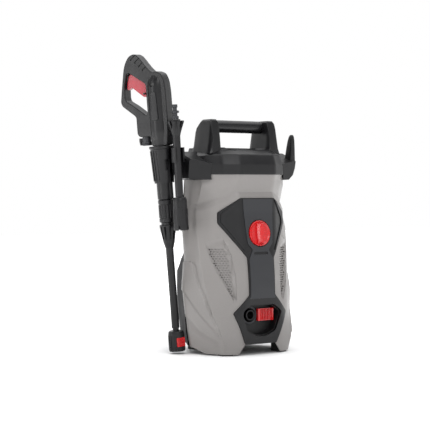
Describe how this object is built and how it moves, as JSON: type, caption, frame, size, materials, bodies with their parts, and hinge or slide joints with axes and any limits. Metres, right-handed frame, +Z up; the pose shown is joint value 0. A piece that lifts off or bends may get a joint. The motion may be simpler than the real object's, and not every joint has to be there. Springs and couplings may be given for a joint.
{
  "type": "pressure washer",
  "caption": "Upright electric pressure washer with carrying handle, dial switch, hose outlet, trigger gun and lance in a side holster, and a spare lance.",
  "frame": {"origin": "middle of the bounding box on the surface the machine stands on", "axes": "+Z up, +X to the right seen from the front, -Y to the front"},
  "size_m": [0.3662, 0.2322, 0.6163],
  "materials": {
    "shell_grey": "satin moulded plastic, fine texture",
    "black_plastic": "fine spark-textured moulded plastic",
    "grip_plastic": "smooth satin moulded plastic",
    "panel_charcoal": "satin moulded plastic",
    "red_plastic": "glossy moulded plastic",
    "crimson_plastic": "semi-gloss moulded plastic",
    "rubber": "soft matt rubber",
    "steel": "machined steel",
    "aluminium": "die-cast aluminium",
    "brass": "turned brass",
    "nylon": "natural nylon",
    "copper": "lacquered copper windings on laminations"
  },
  "bodies": {
    "root": {"front_shell": "shell_grey", "vent_grille_left": "shell_grey", "vent_grille_right": "shell_grey", "rear_shell": "black_plastic", "top_cover": "black_plastic", "bracket_left": "black_plastic", "bracket_right": "black_plastic", "cable_hook": "black_plastic", "fascia": "black_plastic", "outlet_recess": "black_plastic", "base_plate": "black_plastic", "holster_cup": "black_plastic", "lance_clip": "black_plastic", "outlet_socket": "black_plastic", "switch_box": "black_plastic", "handle_bar": "grip_plastic", "control_plate": "panel_charcoal", "pressure_switch": "panel_charcoal", "foot_front_left": "rubber", "foot_front_right": "rubber", "foot_rear_left": "rubber", "foot_rear_right": "rubber", "cord_gland": "rubber", "motor_stator": "steel", "motor_bearing": "steel", "piston_1": "steel", "piston_2": "steel", "piston_3": "steel", "inlet_filter": "steel", "gear_housing": "aluminium", "pump_body": "aluminium", "pump_head": "aluminium", "unloader_valve": "brass", "inlet_connector": "brass", "motor_end_cap": "nylon", "capacitor": "nylon"},
    "knob": {"switch_knob": "red_plastic"},
    "release": {"outlet_release": "red_plastic"},
    "rotor": {"motor_armature": "copper", "cooling_fan": "nylon"},
    "gearwheel": {"drive_gear": "nylon", "wobble_plate": "steel"},
    "gun": {"gun_half_left": "black_plastic", "gun_half_right": "black_plastic", "trigger_pin": "steel", "gun_valve": "brass", "gun_hose_inlet": "black_plastic", "gun_screw_1": "steel", "gun_screw_2": "steel"},
    "trigger": {"gun_trigger": "crimson_plastic"},
    "lock": {"trigger_lock": "black_plastic"},
    "latch": {"hose_latch": "black_plastic"},
    "lance": {"lance_ring": "black_plastic", "lance_stem": "black_plastic"},
    "nozzle": {"nozzle_head": "black_plastic", "nozzle_insert": "red_plastic"},
    "spare": {"spare_plug": "grip_plastic", "spare_stem": "black_plastic", "spare_head": "black_plastic"}
  },
  "joints": [
    {"name": "knob_turn", "type": "hinge", "parent": "root", "child": "knob", "pos_m": [0.0471, -0.09293, 0.248], "axis": [0, -0.993, 0.1184], "range_deg": [-90, 0]},
    {"name": "outlet_release_press", "type": "slide", "parent": "root", "child": "release", "axis": [0, 1, 0], "range_m": [0, 0.004], "stiffness_N_per_m": 600},
    {"name": "rotor_spin", "type": "hinge", "parent": "root", "child": "rotor", "pos_m": [0.0471, -0.00593, 0.2], "axis": [0, 0, 1], "continuous": true},
    {"name": "gearwheel_spin", "type": "hinge", "parent": "root", "child": "gearwheel", "pos_m": [0.0854, -0.00593, 0.15], "axis": [0, 0, 1], "continuous": true},
    {"name": "gun_lift", "type": "slide", "parent": "root", "child": "gun", "axis": [-0.0892, 0, 0.996], "range_m": [0, 0.15]},
    {"name": "trigger_pull", "type": "hinge", "parent": "gun", "child": "trigger", "pos_m": [-0.14566, 0.02789, 0.53425], "axis": [0.8626, 0.5, 0.0773], "range_deg": [0, 12], "stiffness_Nm_per_rad": 1, "springref_deg": -5.73},
    {"name": "trigger_lock_swing", "type": "hinge", "parent": "trigger", "child": "lock", "pos_m": [-0.16071, 0.05127, 0.55097], "axis": [0.8626, 0.5, 0.0773], "range_deg": [0, 45]},
    {"name": "hose_latch_press", "type": "hinge", "parent": "gun", "child": "latch", "pos_m": [-0.147, 0.04434, 0.44276], "axis": [0.8626, 0.5, 0.0773], "range_deg": [0, 10], "stiffness_Nm_per_rad": 0.5},
    {"name": "lance_twist", "type": "hinge", "parent": "gun", "child": "lance", "pos_m": [-0.11147, 0.00537, 0.29836], "axis": [-0.0892, 0, 0.996], "range_deg": [0, 45]},
    {"name": "nozzle_twist", "type": "hinge", "parent": "lance", "child": "nozzle", "pos_m": [-0.08738, 0.00537, 0.02944], "axis": [-0.0892, 0, 0.996], "range_deg": [0, 90]},
    {"name": "spare_lance_out", "type": "slide", "parent": "root", "child": "spare", "axis": [0, -1, 0], "range_m": [0, 0.06]}
  ],
  "couplings": [
    {"joint": "gearwheel_spin", "follows": "rotor_spin", "ratio": -0.26667}
  ]
}
